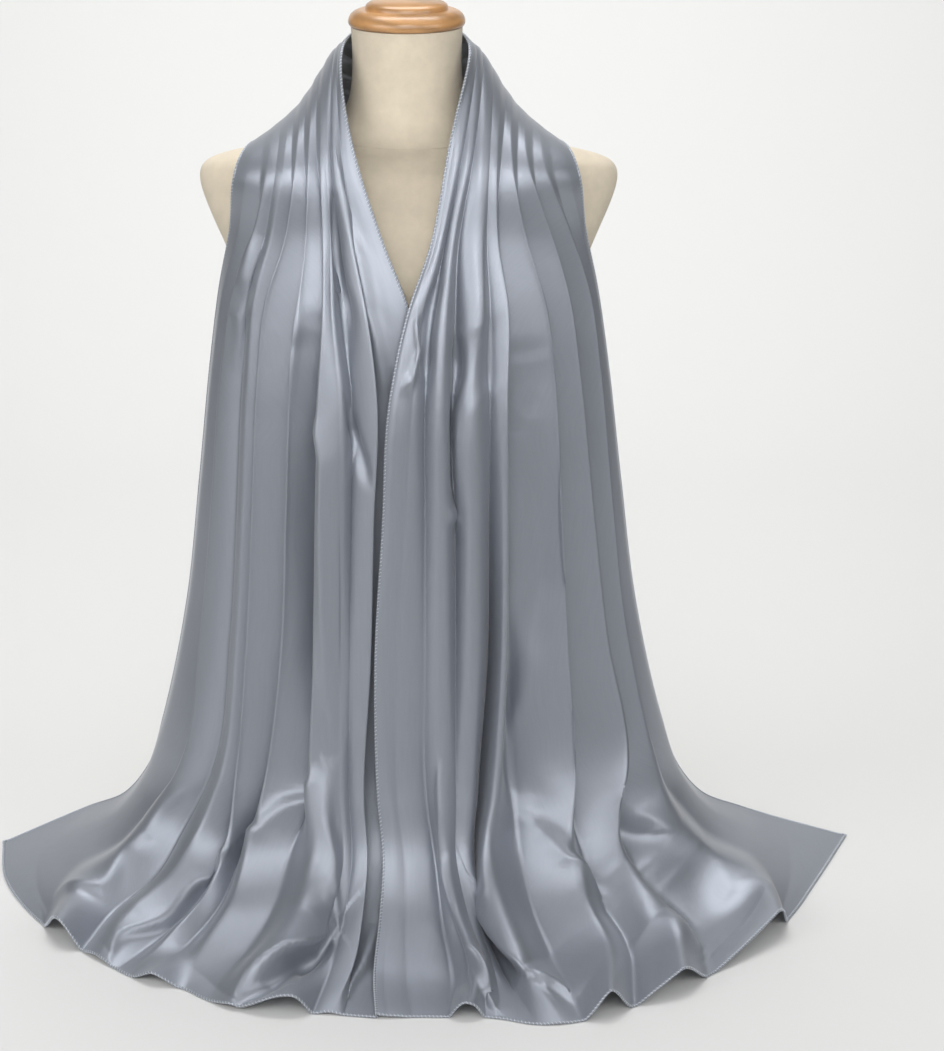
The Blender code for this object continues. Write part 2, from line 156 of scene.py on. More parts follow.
RIGHT_LINES = (
    Line("inner edge", (20, 10, 1, -4.5, -9, -8, -6, -5.5, -4), 0, -6, (0, 0, 3, 3, 4, 4, 4)),
    Line("lip", (21.5, 11.5, 2.5, -2, -7, -6, -4, -4, -2.5), 0, -6, (0, 2, 6, 4, 5, 3, 3)),
    Line("front band", (23.5, 13, 5, 2, -3, -3, -1, 0, 1), 0, -7, (1, 4, 3, 2, 2, 0, 0)),
    Line("front valley", (25.5, 15, 9, 6, 5, 5, 7, 8, 6), 0, -5, (-1, -6, -6, -3, -3, -5, 0)),
    Line(
        "front ridge", (27.5, 17.5, 12.5, 10, 10, 9.5, 9.5, 11.5, 8.5), 0, -3,
        (2, 4, 6, 4, 6, 12, 17),
    ),
    Line("pinch", (29.5, 20, 17, 15.5, 14, 13, 12, 13.5, 11), 0, -1, (-2, -8, -13, -4, 0, 4, 0)),
    Line("broad ridge", (32, 27, 24, 20, 18, 16, 14, 15, 13), 0, 4, (2, 7, 7, 6, 3, 0, 0)),
    Line(
        "lower valley", (34.5, 30, 28, 26, 25, 20, 17, 17, 17), 0, 20,
        (0, 0, -4, -13, -13, -5, 0),
    ),
    Line("lower ridge", (36.5, 33.5, 33, 30, 27, 23, 19, 19.5, 20), 0, 25, (2, 6, 7, 6, 8, 12, 2)),
    Line(
        "long valley", (38.5, 36, 36, 36, 35.5, 34, 29, 26, 23), 5, 26,
        (-3, -11, -14, -14, -14, -2, 0),
    ),
    Line("chest ridge", (41, 43.5, 46, 46.5, 46, 44, 39, 35, 26.5), 0, 23, (3, 8, 7, 7, 7, 14, 26)),
    Line(
        "wedge valley", (43.5, 45.5, 47.5, 49, 48.5, 47, 44, 40, 31), 5, 19,
        (-3, -11, -13, -11, -8, 0, 0),
    ),
    Line("side ridge", (46, 53.5, 56, 57, 60, 60, 51, 48, 38), 0, 15, (2, 7, 7, 7, 7, 14, 25)),
    Line(
        "side valley", (48.5, 55.5, 58, 59, 62.5, 62, 57, 54, 45), 5, 8,
        (-2, -11, -14, -13, -13, -4, 0),
    ),
    Line("outer ridge", (51.5, 62, 67, 69, 71, 71, 70, 70, 60), 0, 0, (2, 6, 6, 4, 6, 12, 26)),
    Line("outer valley", (55, 66, 70, 72, 75, 78, 82, 80, 66), 4, 0, (-2, -8, -10, -10, -7, 0, 0)),
    Line("outer panel", (59.5, 69.5, 74.5, 79, 83.5, 87, 91, 91, 80), 0, 5, (1, 1, 1, 1, 1, 0, 0)),
    Line("outer edge", (64, 72, 77, 82, 89, 93, 98, 101, 95), 0, 38, (0, 0, 0, 0, 0, 0, 0)),
)

# Height of the nape's even folds in millimetres, and a factor on the depth of the valleys at each
# section that STANDOFFS names.
NAPE_GATHER = 3.0
VALLEY_DEPTHS = (1.0, 1.0, 1.2, 1.7, 1.7, 1.2, 1.0)
# Factors on the folds' height where the cloth bends over the shoulder. The crest's runs out
# towards the outer edge, and the collar's falls with the share of the way to that edge.
NAPE, NAPE_SIDE, CREST, COLLAR, CHEST = range(5)
CREST_EASE = 0.30
COLLAR_EASE = 0.35
COLLAR_TURN = 1.25
CHEST_EASE = 0.60
# Step to each side, as a share of the cloth's width, over which its slope is taken.
SHARE_STEP = 0.02
# Powers of the curves between two fold lines: down into a valley, and out from under a tuck.
VALLEY_SHARPNESS = 2.0
TUCK_SHARPNESS = 1.15
# How much of a lift straight up counts as outwards, where two fold lines are compared.
OUTWARD_RISE = 0.1
# The rows are evened out round this section, over about this many sections, this many times.
SHOULDER_SECTION = 3.0
SHOULDER_SPREAD = 0.7
SHOULDER_PASSES = 50
# Lengths of a step and of a normal, below which they are taken as nothing.
SHORTEST_STEP = 1e-9
SHORTEST_NORMAL = 1e-12

# Creases pressed into the cloth between the fold lines. Width and depth are in millimetres, and
# a depth above zero is a ridge. A leaning crease drops off sharply on one hand. The places that
# a crease follows are given as fold line and section, counted from the inner edge and the nape.
Crease = namedtuple("Crease", "name side width depth leans places")
CREASES = (
    Crease(
        "flare left edge", LEFT, 30, 6, True,
        ((5.5, 8.79), (7.4, 9.21), (7.8, 9.62), (9.2, 9.91)),
    ),
    Crease(
        "flare right edge", LEFT, 30, 7, True,
        ((4.4, 11.08), (5.3, 10.38), (5.6, 9.35), (5.5, 8.79)),
    ),
    Crease(
        "flare lower edge", LEFT, 26, 17, True,
        ((6.2, 12.95), (6.1, 12.49), (5.8, 12.15), (5.1, 11.58), (4.4, 11.13)),
    ),
    Crease("under flare", LEFT, 9, -10, False, ((5.8, 13), (5.3, 12.32), (4.4, 11.45))),
    Crease(
        "floor band", LEFT, 18, 9, True,
        ((11.6, 12.91), (11.4, 12.03), (11.4, 10.81), (9.7, 9.91)),
    ),
    Crease(
        "corner edge", LEFT, 30, 7, True,
        ((15.1, 12.83), (13.6, 11.95), (13.8, 10.34), (13.3, 9.29)),
    ),
    Crease("inner strip", LEFT, 8, 6, True, ((2.1, 12.74), (1.5, 11.87), (1.2, 10.99))),
    Crease("square edge", RIGHT, 14, 4, True, ((3.9, 8.71), (3.8, 9.18), (3.6, 9.88))),
    Crease(
        "knee ridge", RIGHT, 16, 10, True,
        ((3.5, 9.91), (3.8, 10.84), (3.9, 11.84), (4.8, 12.55), (5.8, 12.84)),
    ),
    Crease(
        "knee valley", RIGHT, 10, -6, False,
        ((3.6, 10.62), (3.5, 11.42), (3.4, 12.24), (4.2, 13)),
    ),
    Crease(
        "sweep edge", RIGHT, 24, 16, True,
        ((6.5, 10.42), (7.2, 10.89), (7.4, 11.48), (7.6, 12.01), (7.9, 12.28)),
    ),
    Crease("sweep edge low", RIGHT, 16, 6, True, ((7.9, 12.28), (8.6, 12.43), (9.2, 12.7))),
    Crease("under sweep", RIGHT, 10, -7, False, ((6.6, 10.82), (7.2, 11.7), (7.4, 12.3))),
    Crease("facet ridge", RIGHT, 14, 8, True, ((11.1, 11.23), (9.9, 10.12), (9.2, 9.48))),
    Crease(
        "soft ridge", RIGHT, 12, 8, False,
        ((11.8, 10.46), (11.8, 11.15), (11.6, 12.03), (12.9, 12.61)),
    ),
    Crease("small vee", RIGHT, 9, -8, False, ((12.1, 9.38), (13.2, 10.16), (13.1, 10.71))),
    Crease(
        "corner ridge", RIGHT, 30, 8, True,
        ((13.8, 10.44), (14.1, 11.06), (13.8, 12.02), (14.3, 13)),
    ),
    Crease("corner valley", RIGHT, 18, -8, False, ((13.8, 10.98), (13.6, 11.9), (13.6, 12.67))),
    Crease("apex top", RIGHT, 8, 4, True, ((13.4, 9.71), (13.6, 9.94), (13.8, 10.41))),
    Crease(
        "long edge", LEFT, 24, 8, True,
        ((6.4, 6.08), (5.7, 6.48), (5.7, 7.11), (5.6, 7.68), (5.4, 8.28)),
    ),
    Crease("slant valley", LEFT, 6, -6, False, ((4.4, 6.03), (3.9, 6.33), (3.4, 6.65))),
    Crease("pinch ridge", RIGHT, 7, 6, True, ((5.2, 5.75), (5.3, 6.35), (5.2, 6.91))),
    Crease("pinch tip", RIGHT, 6, 4, False, ((4.4, 6.86), (5.2, 7))),
    Crease(
        "broad edge", RIGHT, 22, 7, True,
        ((9.2, 9.2), (9.2, 8.37), (9.2, 7.64), (9.3, 6.89), (9.4, 6.25)),
    ),
    Crease(
        "flap edge", LEFT, 16, 6, True,
        ((1.4, 6.03), (1.7, 4.97), (1.7, 4.17), (2.4, 3.6), (2.7, 3.25)),
    ),
    Crease(
        "fan ridge", LEFT, 6, 4, False,
        ((13.4, 4.06), (13.2, 4.72), (13.2, 5.29), (13.2, 5.86)),
    ),
    Crease("soft line", LEFT, 7, 3, False, ((8, 4.89), (8.2, 5.44), (7.9, 6.07))),
    Crease("inner curl", RIGHT, 9, -6, False, ((2.9, 4.53), (2.7, 4.97), (2.6, 5.37), (2.9, 5.82))),
    Crease("curl lip", RIGHT, 6, 5, False, ((1.4, 5.03), (2.2, 5.43), (1.8, 5.78), (1.1, 5.85))),
    Crease("broad hollow", RIGHT, 24, -4, False, ((6, 5.18), (6.5, 6.03))),
    Crease("fine line", RIGHT, 4, -4, False, ((5.1, 5.35), (5.1, 6.04))),
    Crease("long hollow", LEFT, 9, -8, False, ((7.3, 5.2), (7.3, 6.5), (7.2, 8.4))),
    Crease("broad hollow low", RIGHT, 10, -8, False, ((9.4, 5.6), (9.4, 7.5), (9.5, 9.6))),
    Crease("pinch hollow", RIGHT, 5, -5, False, ((4.9, 5.9), (4.9, 6.4), (4.9, 6.8))),
    Crease("deep slit", LEFT, 5, -7, False, ((4, 3.5), (4, 4.6), (4, 5.6))),
)
# The sharp hand of a leaning crease: its share of the width, and the least it may be in metres.
LEAN_SHARPNESS = 0.25
SHARPEST = 0.006
# How a crease fades out at its ends: the share left out at each end, and the power of the curve.
CREASE_END = 0.02
CREASE_TAPER = 0.6

# The edge: points of its line for each stitch, and how many of them the rolled edge skips to.
# Then factors on its radius for the clearance of its line over the floor, the reach and the
# radius of the thread round it, and the thread's least height, and the roundness of both.
POINTS_PER_STITCH = 4
EDGE_SKIP = 3
EDGE_CLEARANCE = 1.3
THREAD_REACH = 1.25
THREAD_RADIUS = 0.3
THREAD_CLEARANCE = 0.5
EDGE_ROUNDNESS = 1
THREAD_ROUNDNESS = 0

# The form: how often its facets are divided, and the rounded rims of the cap, in metres and
# radians.
COVER_LEVELS = 2
CAP_RIM_WIDTH = 0.0006
CAP_RIM_SEGMENTS = 2
CAP_RIM_ANGLE = math.radians(25.0)
CAP_SMOOTH_ANGLE = math.radians(40.0)

# Profile of the turned cap, from its foot to its middle: reach from the axis and height over
# the foot, in metres.
Step = namedtuple("Step", "reach height")
CAP_STEPS = (
    Step(0.0470, 0.0000),
    Step(0.0485, 0.0008),
    Step(0.0494, 0.0026),
    Step(0.0495, 0.0046),
    Step(0.0489, 0.0072),
    Step(0.0474, 0.0098),
    Step(0.0448, 0.0120),
    Step(0.0412, 0.0135),
    Step(0.0372, 0.0140),
    Step(0.0354, 0.0138),
    Step(0.0350, 0.0146),
    Step(0.0349, 0.0162),
    Step(0.0340, 0.0182),
    Step(0.0318, 0.0196),
    Step(0.0280, 0.0206),
    Step(0.0200, 0.0217),
    Step(0.0100, 0.0224),
    Step(0.0020, 0.0225),
)

# The stage: facets of the curve behind the floor, the colour of the light from all round, and
# where the camera stands.
SWEEP_SEGMENTS = 24
SURROUND_COLOUR = (0.93, 0.94, 0.95)
CAMERA_X = 0.055
CAMERA_Y = -2.577
SENSOR_WIDTH = 36.0

# Lights: the place, where each one points, width and height of the lamp, its power in watts
# and the angle of its beam.
Light = namedtuple("Light", "name place aim width height power beam")
OPEN_BEAM = math.radians(180.0)
CHEST_BEAM = math.radians(36.0)
LIGHTS = (
    Light("key_light", (0.0, -2.45, 1.50), (0.0, -0.10, 0.65), 2.1, 1.2, 27.0, OPEN_BEAM),
    Light("chest_light", (0.0, -1.60, 1.70), (0.0, -0.08, 0.64), 0.9, 0.5, 0.45, CHEST_BEAM),
    Light("left_light", (-1.85, -1.65, 1.42), (0.0, -0.10, 0.55), 1.9, 1.0, 24.0, OPEN_BEAM),
    Light("right_light", (1.85, -1.65, 1.42), (0.0, -0.10, 0.55), 1.9, 1.0, 17.0, OPEN_BEAM),
    Light("left_strip", (-1.70, -1.50, 0.55), (0.0, -0.10, 0.40), 0.5, 0.9, 2.0, OPEN_BEAM),
    Light("ceiling_light", (0.0, -0.10, 2.40), (0.0, -0.10, 0.70), 2.6, 2.0, 13.0, OPEN_BEAM),
    Light("paper_light", (0.0, 1.10, 2.90), (0.0, 2.40, 0.30), 2.0, 2.0, 67.0, OPEN_BEAM),
)

# Materials: the shades of each one along its texture, as place and factor, and the values of its
# shader.
SATIN_SHADES = ((0.30, 0.975), (0.70, 1.02))
SATIN_FINISH = {
    "Metallic": 0.60,
    "Roughness": 0.43,
    "Sheen Weight": 0.25,
    "Sheen Roughness": 0.4,
}
THREAD_SHADES = ((0.35, 0.82), (0.65, 1.12))
THREAD_FINISH = {"Roughness": 0.5, "Sheen Weight": 0.3}
COVER_SHADES = ((0.30, 0.93), (0.70, 1.05))
COVER_FINISH = {"Roughness": 0.85, "Sheen Weight": 0.15}
WOOD_SHADES = ((0.0, 0.80), (0.45, 1.0), (1.0, 1.18))
WOOD_FINISH = {"Roughness": 0.34, "Coat Weight": 0.35, "Coat Roughness": 0.2}
PAPER_ROUGHNESS = 0.9


class StoleSizes(bpy.types.PropertyGroup):
    columns: bpy.props.IntProperty(
        name="Columns",
        description="Mesh columns between two fold lines",
        default=11,
        min=2,
        max=12,
    )
    thickness: bpy.props.FloatProperty(
        name="Thickness",
        description="Thickness of the satin",
        default=0.0006,
        **LENGTH,
    )
    edge_radius: bpy.props.FloatProperty(
        name="Edge radius",
        description="Radius of the rolled edge under its overlock stitches",
        default=0.0010,
        **LENGTH,
    )
    stitch_pitch: bpy.props.FloatProperty(
        name="Stitch pitch",
        description="Distance from one overlock stitch to the next along the edge",
        default=0.0032,
        **LENGTH,
    )
    flat_width: bpy.props.FloatProperty(
        name="Cut width",
        description="Width of the flat strip of cloth that shows",
        default=0.50,
        **LENGTH,
    )
    flat_length: bpy.props.FloatProperty(
        name="Cut length",
        description="Length of the flat strip of cloth that shows",
        default=2.00,
        **LENGTH,
    )
    satin: bpy.props.FloatVectorProperty(
        name="Satin",
        description="Colour of the satin's face",
        default=(0.308, 0.330, 0.375),
        **COLOUR,
    )
    thread: bpy.props.FloatVectorProperty(
        name="Thread",
        description="Colour of the overlock thread",
        default=(0.62, 0.66, 0.72),
        **COLOUR,
    )


class FormFinish(bpy.types.PropertyGroup):
    cover: bpy.props.FloatVectorProperty(
        name="Cover",
        description="Colour of the form's woven cover",
        default=(0.69, 0.605, 0.472),
        **COLOUR,
    )
    maple: bpy.props.FloatVectorProperty(
        name="Cap wood",
        description="Colour of the turned cap",
        default=(0.46, 0.245, 0.10),
        **COLOUR,
    )
    weld: bpy.props.FloatProperty(
        name="Weld",
        description="Distance within which the corners of the form's facets are joined",
        default=0.1 * MM,
        min=0.0,
        **LENGTH,
    )
    rim_angle: bpy.props.FloatProperty(
        name="Rim angle",
        description="Edges of the form that turn by more than this stay crisp",
        default=math.radians(50.0),
        min=0.0,
        max=math.pi,
        subtype="ANGLE",
    )
    cap_segments: bpy.props.IntProperty(
        name="Cap segments",
        description="Sides of the turned cap",
        default=96,
        min=24,
        max=256,
    )


class StageSizes(bpy.types.PropertyGroup):
    floor_size: bpy.props.FloatProperty(
        name="Floor size",
        description="Side of the square floor",
        default=3.5,
        **LENGTH,
    )
    backdrop_y: bpy.props.FloatProperty(
        name="Backdrop distance",
        description="How far behind the form the paper rises",
        default=2.4,
        **LENGTH,
    )
    sweep_width: bpy.props.FloatProperty(
        name="Sweep width",
        description="Width of the curve between the floor and the backdrop",
        default=1.2,
        **LENGTH,
    )
    paper: bpy.props.FloatVectorProperty(
        name="Paper",
        description="Colour of the floor",
        default=(0.725, 0.725, 0.715),
        **COLOUR,
    )
    brightness: bpy.props.FloatProperty(
        name="Brightness",
        description="Factor on the power of every lamp",
        default=1.0,
    )
    surround: bpy.props.FloatProperty(
        name="Surround",
        description="Strength of the even light from all round",
        default=0.06,
    )
    camera_height: bpy.props.FloatProperty(
        name="Camera height",
        description="Height of the camera over the floor",
        default=1.150,
        **LENGTH,
    )
    camera_pitch: bpy.props.FloatProperty(
        name="Camera pitch",
        description="How far the camera looks down",
        default=math.radians(17.7),
        unit="ROTATION",
        subtype="ANGLE",
    )
    focal_length: bpy.props.FloatProperty(
        name="Focal length",
        description="Focal length on a sensor 36 mm wide, in millimetres",
        default=116.2,
    )


def deselect_all():
    """Nothing is selected after this."""
    for selected in list(bpy.context.selected_objects):
        selected.select_set(False)


def smooth_through(knots, values, at):
    """Values at the places asked for, on a smooth curve through the rows of values."""
    knots = np.asarray(knots, float)
    values = np.asarray(values, float)
    at = np.asarray(at, float)
    step = np.diff(knots)
    slope = np.diff(values, axis=0) / step[:, None]
    tangent = np.empty_like(values)
    share = (step[:-1] / (step[:-1] + step[1:]))[:, None]
    tangent[1:-1] = slope[:-1] * (1 - share) + slope[1:] * share
    tangent[0] = slope[0]
    tangent[-1] = slope[-1]
    left = np.clip(np.searchsorted(knots, at, side="right") - 1, 0, len(step) - 1)
    width = step[left][:, None]
    f = ((at - knots[left]) / step[left])[:, None]
    f2 = f * f
    f3 = f2 * f
    return (
        values[left] * (2 * f3 - 3 * f2 + 1)
        + tangent[left] * width * (f3 - 2 * f2 + f)
        + values[left + 1] * (3 * f2 - 2 * f3)
        + tangent[left + 1] * width * (f3 - f2)
    )


def band_point(band, side, share):
    """A point of a section round the neck, at a share of the way to its outer edge."""
    table = (band.inner, band.knee, band.slope, band.outer)
    point = smooth_through(BAND_SHARES, table, [share])[0]
    point[0] *= side
    return point


def fall_point(fall, side, bearing, flare=0.0):
    """A point of a section below the neck, at a bearing in degrees from the front."""
    turn = math.radians(bearing)
    sideways = math.sin(min(abs(turn), math.pi / 2)) ** 2
    reach = fall.front_reach + (fall.side_reach - fall.front_reach) * sideways + flare
    height = fall.front_z + (fall.side_z - fall.front_z) * sideways
    return np.array((side * reach * math.sin(turn), AXIS_Y - reach * math.cos(turn), height))


def per_section(names, values, sections):
    """One value for each section, straight between the sections that a table names."""
    places = [sections.index(name) for name in names]
    return np.interp(range(len(sections)), places, values)


def section_point(index, side, share, edges, flare=0.0):
    """A point of the unfolded cloth, at a share of the way from its inner to its outer edge."""
    if index < len(BANDS):
        return band_point(BANDS[index], side, share)
    row = index - len(BANDS)
    bearing = edges[0][row] + (edges[1][row] - edges[0][row]) * share
    return fall_point(FALLS[row], side, bearing, flare)


def line_standoffs(line, odd, even_share, depths, sections):
    """How far one fold line stands off each section, in millimetres."""
    standoffs = per_section(STANDOFFS, line.standoffs, sections)
    standoffs = np.where(standoffs < 0, standoffs * depths, standoffs)
    standoffs[NAPE] = NAPE_GATHER if odd else -NAPE_GATHER
    standoffs[CREST] *= CREST_EASE * (1 - even_share)
    standoffs[NAPE_SIDE] = (standoffs[NAPE] + standoffs[CREST]) / 2
    standoffs[COLLAR] *= COLLAR_EASE * (COLLAR_TURN - even_share)
    standoffs[CHEST] *= CHEST_EASE
    return standoffs


def outward_at(index, side, share, edges, last):
    """Unit direction out of the unfolded cloth, at a share of a section's width."""
    across = section_point(index, side, share + SHARE_STEP, edges)
    across -= section_point(index, side, share - SHARE_STEP, edges)
    along = section_point(min(index + 1, last), side, share, edges)
    along -= section_point(max(index - 1, 0), side, share, edges)
    outward = np.cross(along, across) * side
    return outward / np.linalg.norm(outward)


def guide_points(side, lines):
    """The unfolded cloth and the lift off it where every fold line crosses every section."""
    fall_names = [fall.name for fall in FALLS]
    sections = [band.name for band in BANDS] + fall_names
    tucks = per_section(TUCKED, TUCK_SHARES, fall_names)
    bearings = [
        per_section(BEARINGS, line.bearings, fall_names) - line.tuck * tucks for line in lines
    ]
    edges = (bearings[0], bearings[-1])
    depths = per_section(STANDOFFS, VALLEY_DEPTHS, sections)
    last = len(sections) - 1
    points = np.empty((2, len(lines), len(sections), 3))
    for number, line in enumerate(lines):
        even_share = number / (len(lines) - 1)
        standoffs = line_standoffs(line, number % 2, even_share, depths, sections)
        for index in range(len(sections)):
            share = even_share
            if index >= len(BANDS):
                row = index - len(BANDS)
                span = edges[1][row] - edges[0][row]
                share = (bearings[number][row] - edges[0][row]) / span
            flare = line.flare * MM if index == last else 0.0
            here = section_point(index, side, share, edges, flare)
            outward = outward_at(index, side, share, edges, last)
            points[:, number, index] = here, outward * standoffs[index] * MM
    return points


def whole_stole():
    """Both fields of the guide points, from the left hem over the nape to the right hem."""
    left = guide_points(LEFT, LEFT_LINES)[:, :, ::-1]
    right = guide_points(RIGHT, RIGHT_LINES)
    nape = (left[:, :, -1:] + right[:, :, :1]) / 2
    return np.concatenate([left[:, :, :-1], nape, right[:, :, 1:]], axis=2)


def section_numbers():
    """Section number of each mesh row, below zero on the left and above it on the right."""
    counts = BAND_ROWS + tuple(fall.rows for fall in FALLS)
    half = [0.0]
    for section, count in enumerate(counts):
        half.extend(section + (step + 1) / count for step in range(count))
    return np.array([-number for number in half[:0:-1]] + half)


def smooth_sheet(guides, numbers, columns):
    """Middle of the cloth: a row for each section number, the columns across it."""
    _, lines, sections, _ = guides.shape
    spans = np.linalg.norm(np.diff(guides.sum(axis=0), axis=1), axis=2).mean(axis=0)
    lengths = np.concatenate([[0.0], np.cumsum(spans)])
    hem = (sections - 1) // 2
    places = np.interp(numbers + hem, range(sections), lengths)
    along = guides.transpose(2, 0, 1, 3).reshape(sections, -1)
    crossings = smooth_through(lengths, along, places).reshape(len(places), 2, lines, 3)
    crossings = ease_shoulders(crossings, numbers)
    count = columns * (lines - 1) + 1
    surface = np.empty((len(places), count, 3))
    for row, (ground, lift) in enumerate(crossings):
        folds = LEFT_LINES if numbers[row] < 0 else RIGHT_LINES
        gaps = np.linalg.norm(np.diff(ground + lift, axis=0), axis=1)
        knots = np.concatenate([[0.0], np.cumsum(gaps)])
        across = np.interp(np.linspace(0, lines - 1, count), range(lines), knots)
        surface[row] = smooth_through(knots, ground, across)
        outward = np.stack([ground[:, 0], ground[:, 1] - AXIS_Y, np.full(lines, OUTWARD_RISE)])
        heights = np.einsum("ij,ji->i", lift, outward)
        surface[row] += fold_lift(lift, heights, folds, columns)
    return surface, places - lengths[hem]


def ease_shoulders(crossings, numbers):
    """The rows of the mesh evened out along the cloth where it turns down over the shoulders."""
    ease = np.exp(-(((np.abs(numbers) - SHOULDER_SECTION) / SHOULDER_SPREAD) ** 2))
    share = ease[1:-1, None, None, None] / 2
    for _ in range(SHOULDER_PASSES):
        middle = (crossings[:-2] + crossings[2:]) / 2
        crossings[1:-1] += (middle - crossings[1:-1]) * share
    return crossings


def fold_lift(lift, heights, folds, columns):
    """Lift between the fold lines: round on a ridge and narrow in a valley."""
    parts = []
    share = np.arange(columns) / columns
    for number in range(len(folds) - 1):
        start, end = lift[number], lift[number + 1]
        if folds[number + 1].tuck:
            rise = share * share * (3 - 2 * share)
        elif folds[number].tuck:
            rise = 1 - (1 - share) ** TUCK_SHARPNESS
        elif heights[number + 1] < heights[number]:
            rise = share**VALLEY_SHARPNESS
        else:
            rise = 1 - (1 - share) ** VALLEY_SHARPNESS
        parts.append(start + (end - start) * rise[:, None])
    return np.concatenate(parts + [lift[-1:]])


def sheet_normals(surface):
    """Unit normals on the outer face of the cloth."""
    steps = np.diff(surface, axis=1)
    steps /= np.maximum(np.linalg.norm(steps, axis=2, keepdims=True), SHORTEST_STEP)
    across = np.concatenate([steps[:, :1], steps], axis=1)
    across = across + np.concatenate([steps, steps[:, -1:]], axis=1)
    along = np.gradient(surface, axis=0)
    normal = np.cross(along, across)
    return normal / np.maximum(np.linalg.norm(normal, axis=2, keepdims=True), SHORTEST_NORMAL)


def flat_places(surface, places):
    """Where each point lies on the flat cloth: across it and along it, in metres."""
    gaps = np.linalg.norm(np.diff(surface, axis=1), axis=2)
    across = np.concatenate([np.zeros((len(gaps), 1)), np.cumsum(gaps, axis=1)], axis=1)
    along = np.repeat(places[:, None], surface.shape[1], axis=1)
    return np.stack([across, along], axis=-1)


def press_creases(surface, numbers, lengths):
    """Raise or sink the cloth along the creases."""
    normal = sheet_normals(surface)
    rows, count, _ = surface.shape
    last_line = len(LEFT_LINES) - 1
    widths = np.linalg.norm(np.diff(surface, axis=1), axis=2).sum(axis=1)
    across = np.linspace(0.0, 1.0, count)[None, :] * widths[:, None]
    along = np.repeat(lengths[:, None], count, axis=1)
    lift = np.zeros((rows, count))
    for crease in CREASES:
        sections = np.array([place[1] for place in crease.places]) * crease.side
        path_along = np.interp(sections, numbers, lengths)
        path_width = np.interp(sections, numbers, widths)
        path_across = np.array([place[0] for place in crease.places]) / last_line * path_width
        lift += crease_lift(crease, across, along, path_across, path_along)
    return surface + normal * lift[..., None] * MM


def crease_lift(crease, across, along, path_across, path_along):
    """How far one crease lifts every point, in millimetres."""
    spans = np.hypot(np.diff(path_across), np.diff(path_along))
    travelled = np.concatenate([[0.0], np.cumsum(spans)])
    nearest = np.full(across.shape, np.inf)
    share = np.zeros(across.shape)
    hand = np.ones(across.shape)
    for start, span in enumerate(spans):
        step_x = path_across[start + 1] - path_across[start]
        step_y = path_along[start + 1] - path_along[start]
        offset_x = across - path_across[start]
        offset_y = along - path_along[start]
        at = np.clip((offset_x * step_x + offset_y * step_y) / span**2, 0.0, 1.0)
        away = np.hypot(offset_x - at * step_x, offset_y - at * step_y)
        closer = away < nearest
        nearest = np.where(closer, away, nearest)
        share = np.where(closer, (travelled[start] + at * span) / travelled[-1], share)
        hand = np.where(closer, np.sign(step_x * offset_y - step_y * offset_x), hand)
    width = crease.width * MM
    taper = np.sin(math.pi * np.clip(share, CREASE_END, 1 - CREASE_END)) ** CREASE_TAPER
    if crease.leans:
        soft = np.exp(-nearest / width)
        sharp = np.exp(-((nearest / max(width * LEAN_SHARPNESS, SHARPEST)) ** 2))
        return crease.depth * taper * np.where(hand > 0, sharp, soft)
    return crease.depth * taper * np.exp(-((nearest / width) ** 2))


def around_edge(field):
    """The values of a field of rows and columns in one loop round its edge."""
    return np.concatenate([field[:-1, 0], field[-1, :-1], field[:0:-1, -1], field[0, :0:-1]])


def make_active(piece):
    """Select this piece alone and work on it."""
    deselect_all()
    piece.select_set(True)
    bpy.context.view_layer.objects.active = piece


def shell_object(name, surface, normal, thickness, flat):
    """A closed thin shell on the middle of the cloth, with its own UV map in metres of cloth."""
    rows, columns, _ = surface.shape
    count = rows * columns
    numbers = np.arange(count).reshape(rows, columns)
    quads = np.stack(
        [numbers[:-1, :-1], numbers[1:, :-1], numbers[1:, 1:], numbers[:-1, 1:]], axis=-1
    ).reshape(-1, 4)
    loop = around_edge(numbers)
    after = np.roll(loop, -1)
    rim = np.stack([after, loop, loop + count, after + count], axis=1)
    faces = np.concatenate([quads, quads[:, ::-1] + count, rim])
    points = surface.reshape(-1, 3)
    facing = normal.reshape(-1, 3)
    shell = np.concatenate([points + facing * thickness / 2, points - facing * thickness / 2])
    mesh = bpy.data.meshes.new(name)
    mesh.from_pydata(shell.tolist(), [], faces.tolist())
    layer = mesh.uv_layers.new(name="cloth")
    layer.data.foreach_set("uv", np.concatenate([flat, flat])[faces.ravel()].ravel())
    mesh.shade_smooth()
    mesh.normals_split_custom_set_from_vertices(np.concatenate([facing, -facing]).tolist())
    made = bpy.data.objects.new(name, mesh)
    bpy.context.collection.objects.link(made)
    return made


def apply_modifiers(piece):
    """Apply all modifiers of a piece, from the first to the last."""
    make_active(piece)
    for modifier in list(piece.modifiers):
        bpy.ops.object.modifier_apply(modifier=modifier.name)


def edge_path(surface, spacing):
    """The whole edge of the cloth as one closed line of evenly spaced points, and its normals."""
    loops = (around_edge(field) for field in (surface, sheet_normals(surface)))
    line, sideways = (np.concatenate([loop, loop[:1]]) for loop in loops)
    spans = np.linalg.norm(np.diff(line, axis=0), axis=1)
    travelled = np.concatenate([[0.0], np.cumsum(spans)])
    count = int(travelled[-1] / spacing)
    at = np.linspace(0.0, travelled[-1], count, endpoint=False)
    path = np.stack([np.interp(at, travelled, line[:, axis]) for axis in range(3)], axis=1)
    facing = np.stack([np.interp(at, travelled, sideways[:, axis]) for axis in range(3)], axis=1)
    facing /= np.linalg.norm(facing, axis=1, keepdims=True)
    return path, facing, at


